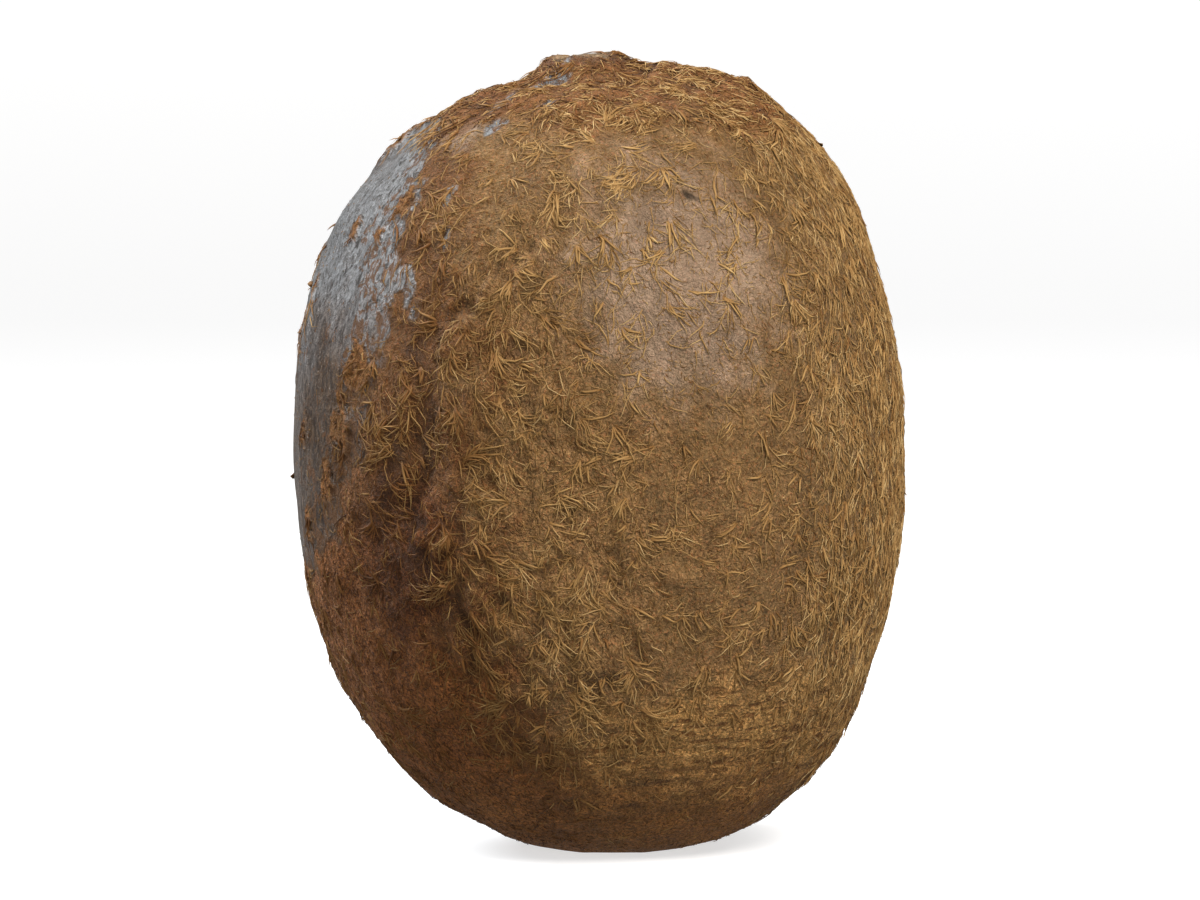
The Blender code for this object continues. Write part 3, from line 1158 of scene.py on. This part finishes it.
def grain(tree, scale, stretch=(1.0, 1.0, 1.0), detail=3.0, warp=0.0, rough=0.55):
    """Soft noise in the piece's own space, stretched along its axes."""
    coords = node(tree, "ShaderNodeTexCoord").outputs["Object"]
    mapped = node(tree, "ShaderNodeMapping", {"Vector": coords, "Scale": stretch}).outputs["Vector"]
    values = {"Vector": mapped, "Scale": scale, "Detail": detail, "Roughness": rough, "Distortion": warp}
    return node(tree, "ShaderNodeTexNoise", values).outputs["Fac"]


def tangle(tree, scale, stretch):
    """Thin winding ridges, like hairs that are stuck down in a mat."""
    level = grain(tree, scale, stretch, 1.0, 1.2, 0.5)
    apart = sums(tree, "ABSOLUTE", less(tree, level, 0.5), 0.0)
    return rescale(tree, apart, 0.0, 0.045, 1.0, 0.0, interpolation_type="SMOOTHSTEP")


def skin_marks(tree, zones):
    """The fine patterns that the skin's colour, shine and bumps share."""
    fibres = grain(tree, 3400.0, (1.0, 1.0, 0.5), 4.0, 1.6, 0.68)
    crossed = grain(tree, 3000.0, (0.5, 0.5, 1.0), 3.0, 2.0, 0.64)
    speckle = grain(tree, 4200.0, detail=2.0)
    # Short dark dashes of painted wrinkle shadow low on the right, also pressed in as dents
    shaded_dashes = mask(tree, grain(tree, 760.0, (0.50, 0.50, 2.4), 3.0, 0.7), 0.55, 0.60)
    shaded_dash_share = times(tree, zones["wrinkled"], less(tree, 1.0, zones["base"]))
    flecks = grain(tree, 900.0, (1.0, 1.0, 0.6), 4.0, 1.2, 0.7)
    flecks = plus(tree, plus(tree, flecks, times(tree, zones["frayed"], 0.16)), 0.03)
    flecks = less(tree, flecks, times(tree, zones["painted_sheen"], 0.05))
    return {
        "felt": plus(tree, times(tree, fibres, 0.60), times(tree, crossed, 0.40)),
        "strands": plus(tree, tangle(tree, 1150.0, (1.0, 1.0, 0.55)), tangle(tree, 1500.0, (0.7, 0.7, 1.0))),
        "speckle": speckle,
        "olive_patches": grain(tree, 330.0, detail=3.0, warp=0.4),
        "red_dots": mask(tree, speckle, 0.60, 0.67),
        "green_dots": mask(tree, speckle, 0.33, 0.40, (1.0, 0.0)),
        "pale_specks": mask(tree, speckle, 0.52, 0.60),
        # Dark lines of painted shadow in the mats, which the bumps also press in as dents
        "shaded_creases": tangle(tree, 620.0, (1.0, 1.0, 0.7)),
        "shaded_crease_share": plus(tree, times(tree, zones["matted"], 0.34), 0.04),
        "shaded_dashes": times(tree, shaded_dashes, shaded_dash_share),
        "streaks": grain(tree, 1700.0, (1.0, 1.0, 0.45), 5.0, 1.4, 0.68),
        "rust_flecks": mask(tree, flecks, 0.63, 0.69),
    }


def furred_colour(tree, zones, marks):
    """The furred skin's colour: its broad tone with the marks in it, with painted shade in the hollows and
    painted light where raised.
    """
    tone = stored(tree, "tone", "Color")
    contrast = ramp(tree, marks["felt"], FIBRE_TINTS)
    low_down = plus(tree, zones["wrinkled"], times(tree, zones["base"], 0.3), clamp=True)
    sharper = plus(tree, zones["flank"], times(tree, low_down, 0.85), clamp=True)
    ground = blend(tree, 1.0, tone, contrast, "MULTIPLY")
    ground = blend(tree, sharper, ground, contrast, "MULTIPLY")
    strengths = {
        "olive_patches": 0.60,
        "red_dots": 0.60,
        "green_dots": 0.55,
        "pale_specks": plus(tree, times(tree, sharper, 0.70), 0.18),
        "shaded_creases": marks["shaded_crease_share"],
        "shaded_dashes": 0.85,
        "strands": plus(tree, times(tree, sharper, 0.22), 0.14),
    }
    for name, strength in strengths.items():
        tinted = blend(tree, 1.0, tone, TINTS[name], "MULTIPLY")
        ground = blend(tree, times(tree, marks[name], strength), ground, tinted)
    ground = blend(tree, times(tree, zones["pale"], 0.60), ground, tone)
    # Painted shade and light: darker where the relief is low and lighter where it is raised
    painted_relief_shade = rescale(tree, zones["raised"], -0.45, 0.80, 0.62, 1.14)
    painted_relief_shade_grey = node(tree, "ShaderNodeCombineColor", {0: painted_relief_shade, 1: painted_relief_shade, 2: painted_relief_shade}).outputs[0]
    return blend(tree, 1.0, ground, painted_relief_shade_grey, "MULTIPLY")


def bare_colour(tree, zones, marks):
    """The bare skin's colour: brown low down and a painted grey sheen above, with flecks of rust."""
    brown_skin = ramp(tree, marks["streaks"], BROWN_SKIN)
    painted_sheen_skin = ramp(tree, marks["streaks"], PAINTED_SHEEN_SKIN)
    bare = blend(tree, zones["painted_sheen"], brown_skin, painted_sheen_skin)
    bare = blend(tree, times(tree, marks["rust_flecks"], 0.85), bare, RUST_FLECK)
    return blend(tree, times(tree, marks["red_dots"], 0.25), bare, RED_FLECK)


def skin_roughness(tree, zones, marks):
    """Matt where the skin is furred or rusty, and polished where it is bare."""
    furred = rescale(tree, marks["felt"], 0.3, 0.7, 0.95, 0.82)
    bare = rescale(tree, marks["streaks"], 0.3, 0.7, 0.36, 0.16)
    glossy = times(tree, zones["worn"], less(tree, 1.0, marks["rust_flecks"]))
    return between(tree, glossy, furred, bare)


def skin_bumps(tree, zones, marks):
    """Felt, lumps, creases and dashes where the skin is furred, and wrinkles where it is bare."""
    furred = plus(tree, marks["felt"], times(tree, marks["speckle"], 0.60))
    furred = plus(tree, furred, times(tree, marks["strands"], 0.14))
    furred = plus(tree, furred, times(tree, grain(tree, 1100.0, (1.0, 1.0, 0.7), 2.0, 0.8), 1.6))
    furred = less(tree, furred, times(tree, marks["shaded_creases"], marks["shaded_crease_share"]))
    furred = less(tree, furred, marks["shaded_dashes"])
    bare = times(tree, grain(tree, 1350.0, (1.0, 1.0, 0.70), 5.0, 1.2, 0.74), 6.6)
    bare = plus(tree, bare, times(tree, tangle(tree, 1600.0, (1.0, 1.0, 0.75)), 0.55))
    bare = plus(tree, bare, times(tree, marks["rust_flecks"], 0.25))
    height = between(tree, zones["worn"], furred, bare)
    bump = node(tree, "ShaderNodeBump", {"Height": height, "Strength": 1.0, "Distance": 0.00050})
    return bump.outputs["Normal"]


def skin_material():
    material, tree, shader = new_material("kiwi_skin")
    zones = {name: stored(tree, name) for name in (*STORED_ZONES, "raised")}
    marks = skin_marks(tree, zones)
    furred = furred_colour(tree, zones, marks)
    bare = bare_colour(tree, zones, marks)
    tree.links.new(blend(tree, zones["worn"], furred, bare), shader.inputs["Base Color"])
    tree.links.new(skin_roughness(tree, zones, marks), shader.inputs["Roughness"])
    tree.links.new(skin_bumps(tree, zones, marks), shader.inputs["Normal"])
    shader.inputs["Specular IOR Level"].default_value = 0.26
    return material


def hair_material():
    """Dark brown, rusty, tan, gold or straw by the hair's own shade, and darker at the root."""
    material, tree, shader = new_material("kiwi_hair")
    own_map = node(tree, "ShaderNodeUVMap", uv_map="OFBake").outputs["UV"]
    parts = node(tree, "ShaderNodeSeparateXYZ", {"Vector": own_map})
    colour = ramp(tree, parts.outputs["X"], HAIR_COLOURS)
    root = ramp(tree, parts.outputs["Y"], ROOT_TINTS)
    colour = blend(tree, 1.0, colour, root, "MULTIPLY")
    tree.links.new(colour, shader.inputs["Base Color"])
    shader.inputs["Roughness"].default_value = 0.62
    shader.inputs["Specular IOR Level"].default_value = 0.14
    return material


def floor_material():
    """Pale matt paper that glows a little more the higher it is, so that the sweep looks even."""
    material, tree, shader = new_material("pale_floor")
    coords = node(tree, "ShaderNodeTexCoord").outputs["Object"]
    height = node(tree, "ShaderNodeSeparateXYZ", {"Vector": coords}).outputs["Z"]
    glow = rescale(tree, height, 0.0, 0.30, 0.63, 1.0)
    tree.links.new(glow, shader.inputs["Emission Strength"])
    shader.inputs["Emission Color"].default_value = (1.0, 1.0, 1.0, 1.0)
    shader.inputs["Base Color"].default_value = (0.50, 0.50, 0.50, 1.0)
    shader.inputs["Roughness"].default_value = 0.95
    return material


# The studio, in metres and degrees

CAMERA_LENS = 200.0
CAMERA_RISE = 4.0
CAMERA_DISTANCE = 0.5710
CAMERA_TARGET = (0.0002, 0.0, 0.0341)
LIGHT_TARGET = (0.0, 0.0, 0.034)


def add_floor():
    """A round pale floor that sweeps up on all sides into a pale wall, and lights nothing."""
    deselect_all()
    bpy.ops.mesh.primitive_circle_add(vertices=96, radius=1.6, fill_type="NGON", location=(0.0, 0.0, 0.0))
    floor = bpy.context.object
    floor.name = "pale_floor"
    bpy.ops.object.mode_set(mode="EDIT")
    bpy.ops.mesh.select_all(action="SELECT")
    bpy.ops.mesh.extrude_region_move(TRANSFORM_OT_translate={"value": (0.0, 0.0, 1.8)})
    bpy.ops.mesh.delete(type="ONLY_FACE")
    bpy.ops.object.mode_set(mode="OBJECT")
    for edge in floor.data.edges:
        ends = [floor.data.vertices[index].co.z for index in edge.vertices]
        edge.select = max(ends) < 0.01
    bpy.ops.object.mode_set(mode="EDIT")
    bpy.ops.mesh.bevel(offset=0.7, segments=14)
    bpy.ops.mesh.select_all(action="SELECT")
    bpy.ops.mesh.normals_make_consistent(inside=True)
    bpy.ops.object.mode_set(mode="OBJECT")
    floor.data.shade_smooth()
    floor.data.materials.append(floor_material())
    floor.visible_diffuse = False
    floor.visible_glossy = False


def towards(turn, rise):
    """The way out of the fruit at a turn and a rise in degrees."""
    flat, tilt = math.radians(turn), math.radians(rise)
    reach = math.cos(tilt)
    return Vector((math.sin(flat) * reach, -math.cos(flat) * reach, math.sin(tilt)))


def aim(thing, target):
    way = Vector(target) - thing.location
    thing.rotation_euler = way.to_track_quat("-Z", "Y").to_euler()


def add_light(name, turn, rise, distance, size, power, colour):
    """A square soft light that stands at a turn and a rise, in degrees, and looks at the fruit."""
    lamp = bpy.data.lights.new(name, "AREA")
    lamp.shape = "RECTANGLE"
    lamp.size, lamp.size_y = size
    lamp.energy = power
    lamp.color = colour
    light = bpy.data.objects.new(name, lamp)
    bpy.context.scene.collection.objects.link(light)
    light.location = Vector(LIGHT_TARGET) + towards(turn, rise) * distance
    light.visible_camera = False
    aim(light, LIGHT_TARGET)


def add_camera():
    sight = bpy.data.cameras.new("camera")
    sight.lens = CAMERA_LENS
    sight.sensor_width = 36.0
    sight.clip_start = 0.01
    camera = bpy.data.objects.new("camera", sight)
    bpy.context.scene.collection.objects.link(camera)
    camera.location = Vector(CAMERA_TARGET) + towards(0.0, CAMERA_RISE) * CAMERA_DISTANCE
    aim(camera, CAMERA_TARGET)
    bpy.context.scene.camera = camera


def set_the_light():
    add_light("key_light", 34.0, 42.0, 0.60, (0.26, 0.26), 5.2, (1.0, 0.965, 0.92))
    add_light("cool_side_light", -108.0, 42.0, 0.45, (0.12, 0.30), 4.0, (0.90, 0.95, 1.0))
    add_light("front_fill", 6.0, 2.0, 0.90, (0.50, 0.40), 3.0, (1.0, 0.98, 0.95))
    world = bpy.data.worlds.new("studio")
    bpy.context.scene.world = world
    world.use_nodes = True
    sky = world.node_tree.nodes["Background"]
    sky.inputs["Color"].default_value = (1.0, 1.0, 1.0, 1.0)
    sky.inputs["Strength"].default_value = 0.48
    bpy.context.scene.view_settings.view_transform = "Standard"


def ride_as_skin(piece):
    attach(piece, "root")


def grow_coat(skin, zones, flow, locks):
    """The tufts, loose hairs, clumps, flakes, dried styles and fuzz, grown on the skin."""
    normals = normals_of(skin.data)
    tree = BVHTree.FromPolygons(points_of(skin.data).tolist(), corners_of(skin.data).tolist())
    hair = hair_material()

    def grow(name, hairs, blank, form, flatness=0.6):
        ride_as_skin(grow_hairs(name, blank, tree, hairs, form, hair, flatness))

    long_blank = hair_blank(LONG_RINGS)
    for sector, hairs in part_by_sector(tuft_hairs(skin, zones, locks, normals)):
        grow("tufts_" + sector, hairs, long_blank, HAIR_FORM)
    for sector, hairs in part_by_sector(loose_hairs(skin, zones, flow, normals)):
        grow("loose_" + sector, hairs, long_blank, HAIR_FORM)
    grow("felted_clumps", felted_clumps(skin, zones, locks, normals), long_blank, CLUMP_FORM, 0.5)
    grow("flakes", skin_flakes(tree), long_blank, FLAKE_FORM, 0.22)
    grow("dried_styles", dried_styles(), long_blank, STYLE_FORM, 0.5)
    short_blank = hair_blank(SHORT_RINGS)
    for sector, hairs in part_by_sector(fuzz_hairs(skin, zones, flow, normals)):
        grow("fuzz_" + sector, hairs, short_blank, FUZZ_FORM)


def main():
    add_camera()
    skin, zones, flow, locks = make_skin()
    skin.data.materials.append(skin_material())
    ride_as_skin(skin)
    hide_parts("kiwi_fruit")
    grow_coat(skin, zones, flow, locks)
    add_floor()
    set_the_light()


main()
